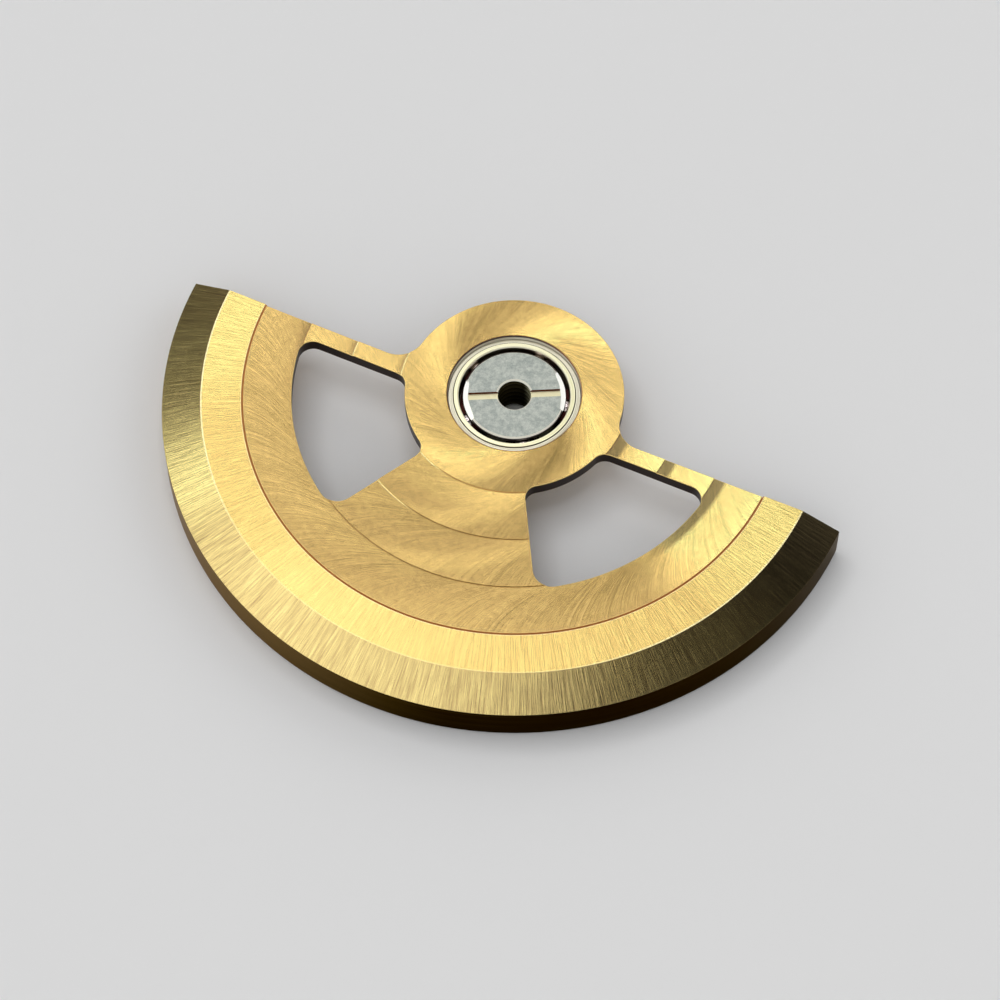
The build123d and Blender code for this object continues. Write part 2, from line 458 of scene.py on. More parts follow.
def face_normals(points, faces):
    """Unit normals of triangles, or zero where one has no area."""
    corner = points[faces]
    normal = np.cross(corner[:, 1] - corner[:, 0], corner[:, 2] - corner[:, 0])
    return normal / np.maximum(np.linalg.norm(normal, axis=1), 1e-12)[:, None]


def rounding(gap, size):
    """How far the surface has dropped at this distance from the edge, on a quarter arc."""
    inner = np.clip(1 - gap / size, 0, 1)
    return size * (1 - np.sqrt(1 - inner**2)), inner


def slab(loops, rings, height, slope, base, size, finishes):
    """A sheet of metal: a top that follows a height over radius, a flat underside, and
    walls along the loops, with all its edges broken by quarter arcs. Its finishes are
    those of top, walls, underside and the top's broken edges.

    The same triangles serve top and underside, and the top's normal is
    (-slope cos a, -slope sin a, 1), turned outwards along the broken edge. Where a step
    meets an edge, a face whose corners' normals lean too far away keeps its own."""
    turn = np.linspace(0, np.pi / 2, break_steps + 1)
    flat, faces = flat_mesh(loops, rings, size * (1 - np.cos(turn)))
    near = np.full(len(flat), np.inf)
    out = np.zeros_like(flat)
    for part in np.array_split(np.arange(len(flat)), slab_parts):
        near[part], out[part] = edge_distance(flat[part], loops)
    drop, lean = rounding(near, size)
    radius = np.linalg.norm(flat, axis=1)
    middle = np.linalg.norm(flat[faces].mean(1), axis=1)
    upright = np.sqrt(1 - lean[faces] ** 2)[..., None]
    side = raised(out, 0)
    outward = side[faces] * lean[faces][..., None]
    radial = (flat / radius[:, None])[faces]
    up = unit(raised(-slope(middle)[:, None, None] * radial, 1))
    top = raised(flat, height(radius) - drop)
    corner = outward + upright * up
    plane = face_normals(top, faces)
    skew = (corner * plane[:, None]).sum(-1).min(1) < skew_limit
    corner[skew] = plane[skew, None]
    under = raised(flat, base + drop)
    down = np.array([0, 0, -1.0])
    edges = np.concatenate([faces[:, [0, 1]], faces[:, [1, 2]], faces[:, [2, 0]]])
    code = edges[:, 0] * len(flat) + edges[:, 1]
    back = edges[:, 1] * len(flat) + edges[:, 0]
    rim = edges[~np.isin(code, back)]
    count = len(flat)
    wall = np.stack([rim[:, 0] + count, rim[:, 1] + count, rim[:, 1], rim[:, 0]], 1)
    both = np.concatenate([top, under])
    on_edge = (lean[faces] > edge_lean).any(1)
    return [
        (top, faces, corner, np.where(on_edge, finishes[3], finishes[0])),
        (under, faces[:, ::-1], (outward + upright * down)[:, ::-1], finishes[2]),
        (both, wall, np.concatenate([side, side])[wall], finishes[1]),
    ]


def stripe_height(radius):
    """Height of the plate's top over radius: in each stripe it rises evenly outwards by the
    step, and drops by the step within the width of the stripe's wall."""
    place = (joint_radius - radius) % stripe_pitch
    ramp = stripe_step * place / (stripe_pitch - stripe_wall)
    fall = stripe_step * (stripe_pitch - place) / stripe_wall
    return plate_top - np.where(joint_radius - radius < 0, 0, np.minimum(ramp, fall))


def stripe_slope(radius):
    """Slope of stripe_height, upwards with growing radius."""
    place = (joint_radius - radius) % stripe_pitch
    ramp = stripe_step / (stripe_pitch - stripe_wall)
    return np.where(place < stripe_pitch - stripe_wall, ramp, -stripe_step / stripe_wall)


def mesh_object(name, patches, materials):
    """One mesh from patches of points, faces, corner normals and a material's number.

    Points of different patches that meet are welded, so the mesh is closed."""
    points = np.concatenate([p[0] for p in patches])
    starts = np.cumsum([0] + [len(p[0]) for p in patches[:-1]])
    keys, index = np.unique(np.round(points, weld_digits), axis=0, return_inverse=True)
    index = index.ravel()
    faces, normals, finish = [], [], []
    for start, (_, quads, corner, number) in zip(starts, patches):
        faces += index[quads + start].tolist()
        normals.append(np.asarray(corner).reshape(-1, 3))
        finish += np.broadcast_to(number, len(quads)).tolist()
    data = bpy.data.meshes.new(name)
    data.from_pydata((keys * MM).tolist(), [], faces)
    data.polygons.foreach_set("material_index", np.array(finish, np.int32))
    data.polygons.foreach_set("use_smooth", np.ones(len(faces), bool))
    data.normals_split_custom_set(unit(np.concatenate(normals)).tolist())
    for material in materials:
        data.materials.append(material)
    data.update()
    piece = bpy.data.objects.new(name, data)
    bpy.context.scene.collection.objects.link(piece)
    return piece


def linear(colour):
    """A colour as a screen shows it, 0 to 255, in the linear values that shaders take."""
    value = np.array(colour) / 255
    value = np.where(value > 0.04045, ((value + 0.055) / 1.055) ** 2.4, value / 12.92)
    return (*value.tolist(), 1.0)


class Link:
    """A node's output, on which an expression adds Math nodes."""

    def __init__(self, tree, socket):
        self.tree = tree
        self.socket = socket

    def __add__(self, other):
        return self.tree.math("ADD", self, other)

    def __radd__(self, other):
        return self.tree.math("ADD", other, self)

    def __sub__(self, other):
        return self.tree.math("SUBTRACT", self, other)

    def __rsub__(self, other):
        return self.tree.math("SUBTRACT", other, self)

    def __mul__(self, other):
        return self.tree.math("MULTIPLY", self, other)

    def __rmul__(self, other):
        return self.tree.math("MULTIPLY", other, self)

    def __truediv__(self, other):
        return self.tree.math("DIVIDE", self, other)


class Tree:
    """An emptied node tree that grows by expressions."""

    def __init__(self, owner):
        owner.use_nodes = True
        self.tree = owner.node_tree
        self.tree.nodes.clear()

    def node(self, kind, settings=None, inputs=None, output=0):
        """Adds a node: settings are set first, then sockets get their values or links."""
        node = self.tree.nodes.new(kind)
        for key, value in (settings or {}).items():
            setattr(node, key, value)
        for key, value in (inputs or {}).items():
            if isinstance(value, Link):
                self.tree.links.new(value.socket, node.inputs[key])
            else:
                node.inputs[key].default_value = value
        return None if output is None else Link(self, node.outputs[output])

    def math(self, operation, *values):
        """A Math node on up to three numbers or links."""
        return self.node("ShaderNodeMath", {"operation": operation}, dict(enumerate(values)))

    def split(self, vector):
        """The three parts of a vector."""
        parts = self.node("ShaderNodeSeparateXYZ", inputs={0: vector}).socket.node
        return [Link(self, socket) for socket in parts.outputs]

    def ramp(self, value, start, end):
        """0 up to the start, 1 from the end on, and a smooth rise between."""
        inputs = {"Value": value, "From Min": start, "From Max": end}
        return self.node("ShaderNodeMapRange", {"interpolation_type": "SMOOTHSTEP"}, inputs)


class Finish(Tree):
    """A material in the making."""

    def __init__(self, name):
        self.material = bpy.data.materials.new(name)
        super().__init__(self.material)

    def position(self):
        """Place on the piece in millimetres, as x, y and z."""
        place = self.node("ShaderNodeTexCoord", output="Object")
        return [part * (1 / MM) for part in self.split(place)]

    def polar(self):
        """Radius in millimetres and angle in radians about the rotor's axis, and height."""
        x, y, z = self.position()
        radius = self.math("SQRT", x * x + y * y)
        return radius, self.math("ARCTAN2", y, x), z

    def noise(self, x, y, z, detail=2.0, roughness=0.5):
        """Noise at a point whose three parts are already scaled to its grain."""
        point = self.node("ShaderNodeCombineXYZ", inputs={0: x, 1: y, 2: z})
        inputs = {"Vector": point, "Scale": 1.0, "Detail": detail, "Roughness": roughness}
        return self.node("ShaderNodeTexNoise", {"noise_dimensions": "3D"}, inputs)

    def grain(self, per_mm, detail, roughness=0.5):
        """Noise with about so many grains in a millimetre."""
        return self.noise(*[part * per_mm for part in self.position()], detail, roughness)

    def strokes(self, radius, angle, per_radian, per_mm, detail=2.0):
        """Noise drawn out along lines of equal angle: fine across them, long along them."""
        x = self.math("COSINE", angle) * per_radian
        y = self.math("SINE", angle) * per_radian
        return self.noise(x, y, radius * per_mm, detail)

    def blend(self, share, low, high):
        """A colour between two others, each a link or as a screen shows it."""
        low, high = [c if isinstance(c, Link) else linear(c) for c in (low, high)]
        settings = {"data_type": "RGBA"}
        return self.node("ShaderNodeMix", settings, {0: share, 6: low, 7: high}, 2)

    def shade(self, colour, roughness, metallic=1.0, relief=None, depth=0.0, **more):
        """Ends the material with a Principled shader and returns it. Its surface varies by
        up to so many millimetres with the relief, if there is one."""
        inputs = {"Base Color": colour, "Roughness": roughness, "Metallic": metallic, **more}
        if relief is not None:
            bump = {"Height": relief, "Distance": depth * MM, "Strength": 1.0}
            inputs["Normal"] = self.node("ShaderNodeBump", inputs=bump)
        shader = self.node("ShaderNodeBsdfPrincipled", inputs=inputs)
        self.node("ShaderNodeOutputMaterial", inputs={"Surface": shader}, output=None)
        return self.material


def mixed(share, low, high):
    """A number that goes from low to high with the share."""
    return share * (high - low) + low


# Ranges below give where something starts and where it is full: a radius in millimetres, a
# place in a stripe (0 at its outer edge, 1 at its inner one), or a cosine of the angle about
# the axis, which is -1 at the left end of the rotor and 1 at its right end. Pairs of tones and
# shares are the values where such a range starts and where it is full.

# Strokes across each stripe of the plate: their lean from the radius at its two edges
stroke_lean_outer = np.radians(23)
stroke_lean_inner = np.radians(64)
strokes_per_mm = 160
streaks_per_mm = 4
stripe_shift = 9
stroke_depth = 0.0017

# Painted sheen of the plate over its strokes' heading, laid into its colour, and a painted glint
# at one heading. Each wave has a weight and the number of times that it goes round in a turn
sheen_waves = ((0.05, 1), (0.18, 2))
quarter_heading = np.radians(39)
glint_heading = np.radians(-121)
glint_width = (0.98, 1.0)
glint_fade = (8.2, 7.2)

# Parts of the plate with painted highlight and painted shade of their own
hub_fade = (5.5, 3.5)
arm_start = (3.9, 4.0)
right_arm = (0.78, 0.94)
left_arm = (-0.93, -0.985)
left_arm_inside = (7.9, 7.4)
# Patches of painted shade at the inner edge of each stripe, on the right arm and on the left
right_shade_side = (0.84, 0.95)
right_shade_place = (0.72, 0.82)
left_shade_place = (0.82, 0.99)
# Painted shade line along each step, turning to a painted highlight on the left and inside
step_line_place = (0.965, 0.985)
step_highlight_side = (-0.15, -0.35)
step_highlight_inside = (7.4, 6.5)
# Dark copper edge at the bore, deepened by painted shade on the far side
bore_edge = (bore_radius + 0.06, bore_radius + 0.035)

# Tone of the plate, from 0 for bronze to 1 for gold, and shares of the colours laid over it
base_tone = (0.15, 0.56)
# Weights of the painted sheen's waves, on the plate and on the hub
fan_tone = (0.4, 1.0)
quarter_tone = (-0.08, 0.2)
streak_tone = (0.04, 0.1)
# Painted highlight that lifts the tone on the left arm, outside and inside, and on the right arm
left_arm_highlight = (0.12, 0.32)
right_arm_highlight = 0.74
glint_tone = 0.16
cloud_tone = 0.26
tone_gain = 1.4
cream_start = 0.7
cream_gain = 3
right_shade_share = 0.92
left_shade_share = 0.5
step_line_share = (0.35, 0.75)
bore_edge_shade_share = (0.5, 0.85)

# Colours of the plate
plate_bronze = (172, 143, 89)
plate_gold = (239, 205, 127)
plate_cream = (252, 246, 158)
right_shade_gold = (142, 124, 84)
left_shade_gold = (140, 110, 76)
step_shade_bronze = (140, 98, 58)
step_highlight_cream = (255, 240, 176)
bore_copper_and_shade = (74, 36, 24)

# Brushing of the rim: strokes in a radian and in a millimetre of radius
fine_brush = (400, 1.2)
coarse_brush = (130, 0.8)
fine_brush_tone = 0.6
coarse_brush_tone = 0.45
brush_depth = 0.0085
# Painted shade of umber towards the right end, and painted highlight lines beside the bevel and the
# inner edge
rim_shade_umber = (60, 52, 42)
rim_highlight = (255, 246, 196)
rim_shade_side = (0.85, 1.0)
# Painted highlight lines beside the bevel and beside the inner edge of the rim
outer_highlight_start = (bevel_radius - 0.06, bevel_radius - 0.03)
outer_highlight_end = (bevel_radius + 0.02, bevel_radius)
outer_highlight_sides = (0.5, 0.9)
outer_highlight_share = (0.15, 0.65)
inner_highlight = (joint_radius + 0.05, joint_radius + 0.02)
inner_highlight_share = 0.6

# Other metals: grains or lines in a millimetre, depth of their relief, and ranges
grains_per_mm = 8
grain_depth = 0.0004
lines_per_mm = 30
turned_depth = 0.0006
clouds_per_mm = 5
specks_per_mm = 30
speck_depth = 0.001
wall_grain = (4, 25)
# Painted shade that darkens the rim's outer wall towards the right end, over this cosine
wall_shade_sides = (0.3, -0.8)
wall_line_tone = 0.3
bore_lines_per_mm = 16
bore_edge_height = (plate_top - bore_edge_drop - edge_break, plate_top - bore_edge_drop)
# Painted shade on the bore's edge, on the plate's top and on the bore's wall, deepest towards this
# angle
bore_edge_angle = np.radians(150)
bore_top_shade_side = (-0.2, 0.6)
bore_wall_shade_side = (-0.2, 0.7)
# Painted shade at the lower edge of the screw's chamfers starts further out towards the front
front_angle = np.radians(-66)
front_side = (0.0, 0.7)
front_widening = 0.045
chamfer_shade_edge = (lock_face_radius + 0.01, lock_face_radius + 0.025)
# Painted light on the thread's crests and roots, lighter towards this angle
thread_light_angle = np.radians(10)
thread_lit_side = (0.3, 0.9)


def swirled_gold():
    """Top of the plate: gold, each stripe finished with fine strokes that curve across it.

    At place u in a stripe a stroke leans from the radius by an angle that grows evenly with
    u, so along it the angle about the axis grows by the pitch over the radius times the
    integral of the lean's tangent. Where strokes point the same way a painted sheen gives
    the metal the same tint, so waves over their heading tint it from bronze through gold to
    cream, more so on the hub, and a painted glint lies at one heading. Both arms are lighter
    by painted highlight, with a patch of painted shade on the right and another on the left
    at the inner edge of each stripe. A painted shade line runs along the step between
    stripes, turning to a painted highlight on the left, and the bore has a dark copper edge,
    deepened by painted shade on the far side."""
    f = Finish("swirled_gold")
    radius, angle, _ = f.polar()
    inward = (joint_radius - radius) / stripe_pitch
    stripe = f.math("FLOOR", inward)
    place = inward - stripe
    turning = stroke_lean_inner - stroke_lean_outer
    lean = place * turning + stroke_lean_outer
    bend = f.math("LOGARITHM", f.math("COSINE", lean) / np.cos(stroke_lean_outer), np.e)
    stroke = angle + bend * (stripe_pitch / turning) / radius
    outer = joint_radius - stripe * stripe_pitch
    shift = radius + stripe * stripe_shift
    fine = f.strokes(shift, stroke, outer * strokes_per_mm, 0.3, detail=0.0)
    streaks = f.strokes(shift, stroke, outer * streaks_per_mm, 0.2, detail=0.5)
    x, y, z = f.position()
    cloud = f.noise(x * clouds_per_mm, y * clouds_per_mm, z, detail=3.0)
    # Painted sheen and painted glint over the strokes' heading, laid into the tone
    course = angle - lean
    fan = 0
    for weight, times in sheen_waves:
        fan = f.math("COSINE", course * times) * weight + fan
    quarter = f.math("COSINE", (course - quarter_heading) * 4) * 0.5 + 0.5
    quarter = quarter * quarter * 2 - 1
    hub = f.ramp(radius, *hub_fade)
    glint = f.ramp(f.math("COSINE", course - glint_heading), *glint_width)
    glint = glint * f.ramp(radius, *glint_fade)
    across = f.math("COSINE", angle)
    left_side = f.ramp(across, *left_arm)
    # Painted highlight: both arms lighter than the rest of the plate
    left = left_side * (1 - hub) * mixed(f.ramp(radius, *left_arm_inside), *left_arm_highlight)
    right = f.ramp(across, *right_arm) * (1 - hub) * right_arm_highlight
    beyond = f.ramp(radius, *arm_start)
    # Patches of painted shade at the inner edge of each stripe, on the right arm and on the left
    right_arm_shade = f.ramp(place, *right_shade_place) * f.ramp(across, *right_shade_side) * beyond
    painted_shade = f.ramp(place, *left_shade_place) * left_side * beyond
    tone = fan * mixed(hub, *fan_tone) + quarter * mixed(hub, *quarter_tone)
    tone = tone + mixed(hub, *base_tone) + glint * glint_tone + right + left
    tone = tone + (streaks - 0.5) * mixed(hub, *streak_tone) + (cloud - 0.5) * cloud_tone
    colour = f.blend(tone * tone_gain, plate_bronze, plate_gold)
    colour = f.blend((tone - cream_start) * cream_gain, colour, plate_cream)
    colour = f.blend(right_arm_shade * right_shade_share, colour, right_shade_gold)
    colour = f.blend(painted_shade * left_shade_share, colour, left_shade_gold)
    # Painted shade line along each step between stripes, turning to a painted highlight on the left
    bright = f.ramp(across, *step_highlight_side) * f.ramp(radius, *step_highlight_inside)
    step_line = f.ramp(place, *step_line_place) * mixed(bright, *step_line_share)
    colour = f.blend(step_line, colour, f.blend(bright, step_shade_bronze, step_highlight_cream))
    # Dark copper edge at the bore, deepened by painted shade on the far side
    far = f.ramp(f.math("COSINE", angle - bore_edge_angle), *bore_top_shade_side)
    edge = f.ramp(radius, *bore_edge) * mixed(far, *bore_edge_shade_share)
    return f.shade(f.blend(edge, colour, bore_copper_and_shade), 0.17, relief=fine, depth=stroke_depth)


def brushed_gold(name, low, high, rough, tone, painted_lifts, painted_shade):
    """Rim metal, brushed straight outwards. Each lift adds painted light to its tone, or painted
    shade where its amount is negative, by a smooth rise over the cosine of the angle about
    the axis. Towards the right end painted shade darkens it to umber by the given share, and
    a painted highlight line runs beside its inner edge and beside the bevel."""
    f = Finish(name)
    radius, angle, _ = f.polar()
    fine = f.strokes(radius, angle, *fine_brush)
    coarse = f.strokes(radius, angle, *coarse_brush)
    tone = (fine - 0.5) * fine_brush_tone + (coarse - 0.5) * coarse_brush_tone + tone
    across = f.math("COSINE", angle)
    # Each lift lays painted light on the rim, or painted shade where its amount is negative
    for start, end, amount in painted_lifts:
        tone = tone + f.ramp(across, start, end) * amount
    colour = f.blend(tone, low, high)
    # Painted shade of umber towards the right end
    colour = f.blend(f.ramp(across, *rim_shade_side) * painted_shade, colour, rim_shade_umber)
    # Painted highlight lines beside the bevel and the inner edge
    outer = f.ramp(radius, *outer_highlight_start) * f.ramp(radius, *outer_highlight_end)
    sides = f.ramp(f.math("ABSOLUTE", across), *outer_highlight_sides)
    line = outer * mixed(sides, *outer_highlight_share) + f.ramp(radius, *inner_highlight) * inner_highlight_share
    colour = f.blend(line, colour, rim_highlight)
    return f.shade(colour, rough, relief=fine * 0.5 + coarse * 0.5, depth=brush_depth)


def plain_metal(name, low, high, rough, metallic=1.0):
    """Metal with a faint even grain."""
    f = Finish(name)
    speckle = f.grain(grains_per_mm, 3.0)
    colour = f.blend(speckle, low, high)
    return f.shade(colour, speckle * 0.1 + rough, metallic, speckle, grain_depth)


def turned_metal(name, low, high, rough, metallic=1.0):
    """Metal with fine lines all round the axis, from turning."""
    f = Finish(name)
    radius, angle, z = f.polar()
    line = f.noise(radius * lines_per_mm, z * lines_per_mm, f.math("COSINE", angle), 1.0)
    colour = f.blend(f.ramp(line, 0.3, 0.7), low, high)
    return f.shade(colour, rough, metallic, line, turned_depth)


def wall_gold():
    """Turned outer wall of the rim: gold on the left, painted shade turns it dark bronze towards
    the right end.
    """
    f = Finish("wall_gold")
    radius, angle, z = f.polar()
    line = f.noise(radius * wall_grain[0], z * wall_grain[1], angle * 2)
    # Painted shade darkens the wall towards the right end
    tone = f.ramp(f.math("COSINE", angle), *wall_shade_sides) + (line - 0.5) * wall_line_tone
    colour = f.blend(tone, (18, 13, 9), (160, 132, 88))
    tint = {"Specular Tint": linear((200, 188, 172))}
    return f.shade(colour, 0.3, relief=line, depth=speck_depth, **tint)


def bore_metal():
    """Wall of the plate's bore: pale turned stripes below a dark copper edge, deepened by painted
    shade on the far side.
    """
    f = Finish("bore_gold")
    _, angle, z = f.polar()
    line = f.noise(z * bore_lines_per_mm, f.math("COSINE", angle), 0.0)
    wall = f.blend(f.ramp(line, 0.35, 0.65), (206, 198, 176), (255, 252, 240))
    # Painted shade on the far side of the bore's edge
    far = f.ramp(f.math("COSINE", angle - bore_edge_angle), *bore_wall_shade_side)
    edge = f.blend(far, (150, 92, 60), (44, 20, 16))
    colour = f.blend(f.ramp(z, *bore_edge_height), wall, edge)
    return f.shade(colour, 0.4, 0.1, line, turned_depth)


def mottled_steel():
    """Face of the slotted screw: matt blue-grey with a cloudy, finely speckled skin."""
    f = Finish("disc_steel")
    cloud = f.grain(clouds_per_mm, 4.0, 0.7)
    speck = f.grain(specks_per_mm, 2.0)
    tone = f.ramp(cloud, 0.3, 0.7) * 0.7 + f.ramp(speck, 0.3, 0.7) * 0.3
    colour = f.blend(tone, (156, 163, 158), (210, 214, 204))
    return f.shade(colour, cloud * 0.1 + 0.45, relief=speck, depth=speck_depth)


def chamfered_steel():
    """Chamfers of the slotted screw: a pale line with a lower edge of dark painted shade, which
    starts further out in front, so the pale line is wider there.
    """
    f = Finish("chamfer_steel")
    radius, angle, _ = f.polar()
    front = f.ramp(f.math("COSINE", angle - front_angle), *front_side)
    # Painted shade along the chamfer's lower edge, starting further out in front
    lower = f.ramp(radius - front * front_widening, *chamfer_shade_edge)
    colour = f.blend(lower, (244, 242, 226), (36, 18, 18))
    return f.shade(colour, 0.3, metallic=0.0)


def threaded_steel():
    """Wall of the threaded hole: painted light on each crest of the thread and painted shade in its
    roots, both lighter towards one side.
    """
    f = Finish("hole_steel")
    _, angle, z = f.polar()
    phase = z / thread_pitch + (angle - slot_angle) / (2 * np.pi)
    depth = f.math("PINGPONG", phase, 0.5) * 2
    # Painted light on the crests and painted shade in the roots, lighter towards one side
    near = f.ramp(f.math("COSINE", angle - thread_light_angle), *thread_lit_side)
    crest = f.blend(near, (60, 54, 34), (255, 252, 210))
    root = f.blend(near, (24, 18, 10), (120, 104, 60))
    return f.shade(f.blend(depth, crest, root), 0.5)


# Metals. A lift of the rim is a range of the cosine and the amount that it adds to the tone:
# painted light, or painted shade where the amount is negative
swirled = swirled_gold()
flat_painted_lifts = ((-0.85, -1.0, 0.4), (0.85, 1.0, 0.45), (0.35, -0.35, 0.15), (-0.35, -0.6, -0.15))
flat_gold = brushed_gold("flat_gold", (206, 166, 98), (248, 228, 142), 0.27, 0.4, flat_painted_lifts, 0)
bevel_painted_lifts = ((-0.6, -0.8, 0.65), (-0.8, -0.93, -0.45), (-0.97, -1.0, -0.2))
bevel_gold = brushed_gold("bevel_gold", (132, 108, 72), (246, 228, 150), 0.19, 0.3, bevel_painted_lifts, 0.85)
side_gold = wall_gold()
# Walls of the windows, nearly black: painted shade on the gold metal
window_shade_gold = plain_metal("window_shade_gold", (26, 16, 12), (48, 31, 22), 0.35)
edge_gold = plain_metal("edge_gold", (218, 184, 114), (242, 216, 142), 0.3)
bore_gold = bore_metal()
under_gold = plain_metal("under_gold", (190, 150, 90), (225, 185, 115), 0.35)
joint_bronze = plain_metal("joint_bronze", (206, 138, 70), (228, 162, 90), 0.5, 0.2)
land_steel = turned_metal("land_steel", (226, 220, 176), (250, 246, 210), 0.28)
# Dark painted shade in the ring's narrow groove
groove_shade_steel = plain_metal("groove_shade_steel", (40, 34, 24), (60, 52, 36), 0.5)
slope_steel = turned_metal("slope_steel", (226, 220, 196), (252, 248, 228), 0.3, 0.9)
# Pale, nearly matt steel on the lip's chamfer and upper raceway: a painted highlight
lip_highlight_steel = turned_metal("lip_highlight_steel", (240, 232, 186), (255, 252, 226), 0.4, 0.05)
ring_steel = turned_metal("ring_steel", (190, 180, 160), (215, 205, 185), 0.3)
disc_steel = mottled_steel()
chamfer_steel = chamfered_steel()
slot_steel = plain_metal("slot_steel", (240, 230, 180), (255, 250, 214), 0.35, 0.6)
# Dark walls of the slot: painted shade on the screw's steel
slot_side_shade = plain_metal("slot_side_shade", (84, 44, 32), (110, 64, 46), 0.4)
hole_steel = threaded_steel()
core_steel = turned_metal("core_steel", (170, 170, 165), (205, 205, 196), 0.3)
gear_brass = plain_metal("gear_brass", (190, 155, 90), (222, 190, 120), 0.3)
crescent_steel = plain_metal("crescent_steel", (246, 246, 236), (255, 255, 250), 0.3)
cage_bronze = plain_metal("cage_bronze", (42, 19, 18), (70, 34, 30), 0.35)
ball_steel = plain_metal("ball_steel", (206, 192, 192), (226, 214, 212), 0.08)


def rotor_plate():
    """Pierced plate: stripes on top, cut to the outline of hub, arms and spoke. Its bore has
    a finish of its own, and so has its outer edge, which lies in the joint with the rim."""
    steps = stripe_edge_steps * ring_steps
    rings = []
    edge = joint_radius - stripe_pitch
    while edge > bore_radius:
        rings += [circle(edge, steps), circle(edge + stripe_wall, steps)]
        edge -= stripe_pitch
    patches = slab(
        plate_loops(), rings, stripe_height, stripe_slope, plate_base, edge_break, (0, 1, 2, 3)
    )
    for part in (0, 2):
        points, faces, normals, finish = patches[part]
        reach = np.linalg.norm(points[faces].mean(1)[:, :2], axis=1)
        finish = np.where(reach < bore_radius + edge_break, 4, finish)
        finish = np.where(reach > plate_radius - edge_break / 2, 5, finish)
        patches[part] = (points, faces, normals, finish)
    finishes = [swirled, window_shade_gold, under_gold, edge_gold, bore_gold, joint_bronze]
    return mesh_object("pierced_plate", patches, finishes)


def drive_gear():
    """Toothed ring under the plate."""

    def level(radius):
        return flange_base + 0 * radius

    def flat(radius):
        return 0 * radius

    patches = slab(gear_loops(), [], level, flat, gear_base, fine_break, (0, 0, 0, 0))
    return mesh_object("toothed_ring", patches, [gear_brass])


def rim_weight():
    """Heavy half ring with a ledge for the plate, a flat top and a bevel."""
    corners = [
        (rim_inner_radius, plate_base),
        (rim_inner_radius, rim_inner_chamfer),
        (rim_inner_radius + rim_inner_chamfer, 0),
        (rotor_radius - rim_outer_chamfer, 0),
        (rotor_radius, rim_outer_chamfer),
        (rotor_radius, plate_top - bevel_drop),
        (bevel_radius, plate_top),
        (joint_radius, plate_top),
        (joint_radius, plate_top - joint_depth),
        (plate_radius + joint_slit, plate_top - joint_depth),
        (plate_radius + joint_slit, plate_base),
    ]
    profile = ring_profile(corners)
    points = profile[0]
    radius, height = ((points[:-1] + points[1:]) / 2).T
    short = np.linalg.norm(np.diff(points, axis=0), axis=1) < edge_break
    uppermost = height > plate_top - edge_break
    finishes = np.full(len(radius), 2)
    finishes[(height > plate_top - bevel_drop) & (radius > bevel_radius)] = 1
    finishes[uppermost & (radius < bevel_radius)] = 0
    finishes[uppermost & short] = 3
    finishes[(height > plate_base) & (radius < joint_radius) & ~uppermost] = 4
    materials = [flat_gold, bevel_gold, side_gold, edge_gold, joint_bronze]
    return mesh_object("heavy_rim", rim_patches(profile, finishes), materials)


def race_corner(side, level):
    """Corner of the raceway's flat, outside (+1) or inside (-1) the pitch circle, up or down."""
    return (pitch_radius + side * race_radius, ball_height + level * race_flat)


def terraces():
    """Corners of the narrow flat steps that lead down from the groove to the ring's edge.

    Step k, of n, spans an nth of the slope's width and lies at the slope's height there."""
    edge = np.linspace(ring_radius, groove_edge, terrace_count + 1)
    drop = ring_slope_drop * (1 - (np.arange(terrace_count) + 0.5) / terrace_count)
    level = bearing_top - ring_groove_depth - drop
    return np.stack([np.stack([edge[:-1], level], 1), np.stack([edge[1:], level], 1)], 1)


def outer_ring():
    """Outer ring of the bearing: grooved land, flange under the plate, spigot and raceway."""
    corners = [
        (outer_lip + lip_chamfer_width, bearing_top),
        (outer_lip, bearing_top - lip_chamfer_drop),
        (outer_lip, ball_height + lip_rise),
        race_corner(1, 1),
        race_corner(1, -1),
        (outer_lip, ball_height - lip_rise),
        (outer_lip, ring_base + ring_chamfer),
        (outer_lip + ring_chamfer, ring_base),
        (spigot_radius - ring_chamfer, ring_base),
        (spigot_radius, ring_base + ring_chamfer),
        (spigot_radius, flange_base),
        (flange_radius, flange_base),
        (flange_radius, plate_base),
        (ring_radius, plate_base),
        *terraces().reshape(-1, 2).tolist(),
        (groove_edge, bearing_top - ring_groove_depth),
        (land_edge, bearing_top - ring_groove_depth),
        (land_edge, bearing_top),
    ]
    profile = ring_profile(corners, fine_break)
    radius, height = ((profile[0][:-1] + profile[0][1:]) / 2).T
    finishes = np.full(len(radius), 3)
    finishes[(height > plate_base) & (radius > groove_edge)] = 2
    finishes[(radius > land_edge) & (radius < groove_edge)] = 1
    chamfer = (height > bearing_top - lip_chamfer_drop) & (radius < outer_lip + lip_chamfer_width)
    raceway = (height > ball_height) & (height < ball_height + lip_rise) & (radius < land_edge)
    # Lip chamfer and upper raceway take the pale steel of painted highlight
    finishes[chamfer | raceway] = 4
    finishes[(height > bearing_top - fine_break) & (radius < land_edge)] = 0
    patches = [revolve(profile, full_turn(), finishes)]
    materials = [land_steel, groove_shade_steel, slope_steel, ring_steel, lip_highlight_steel]
    return mesh_object("grooved_ring", patches, materials)


def core():
    """Lower half of the inner ring, with the seat that meets the movement."""
    corners = [
        (core_bore_radius, ball_height),
        (core_bore_radius, 0),
        (seat_radius, 0),
        (seat_radius, seat_height),
        (inner_lip, seat_height),
        (inner_lip, ball_height - lip_rise),
        race_corner(-1, -1),
        (core_race_radius, ball_height),
    ]
    profile = ring_profile(corners, fine_break)
    return mesh_object("seat_core", [revolve(profile, full_turn())], [core_steel])


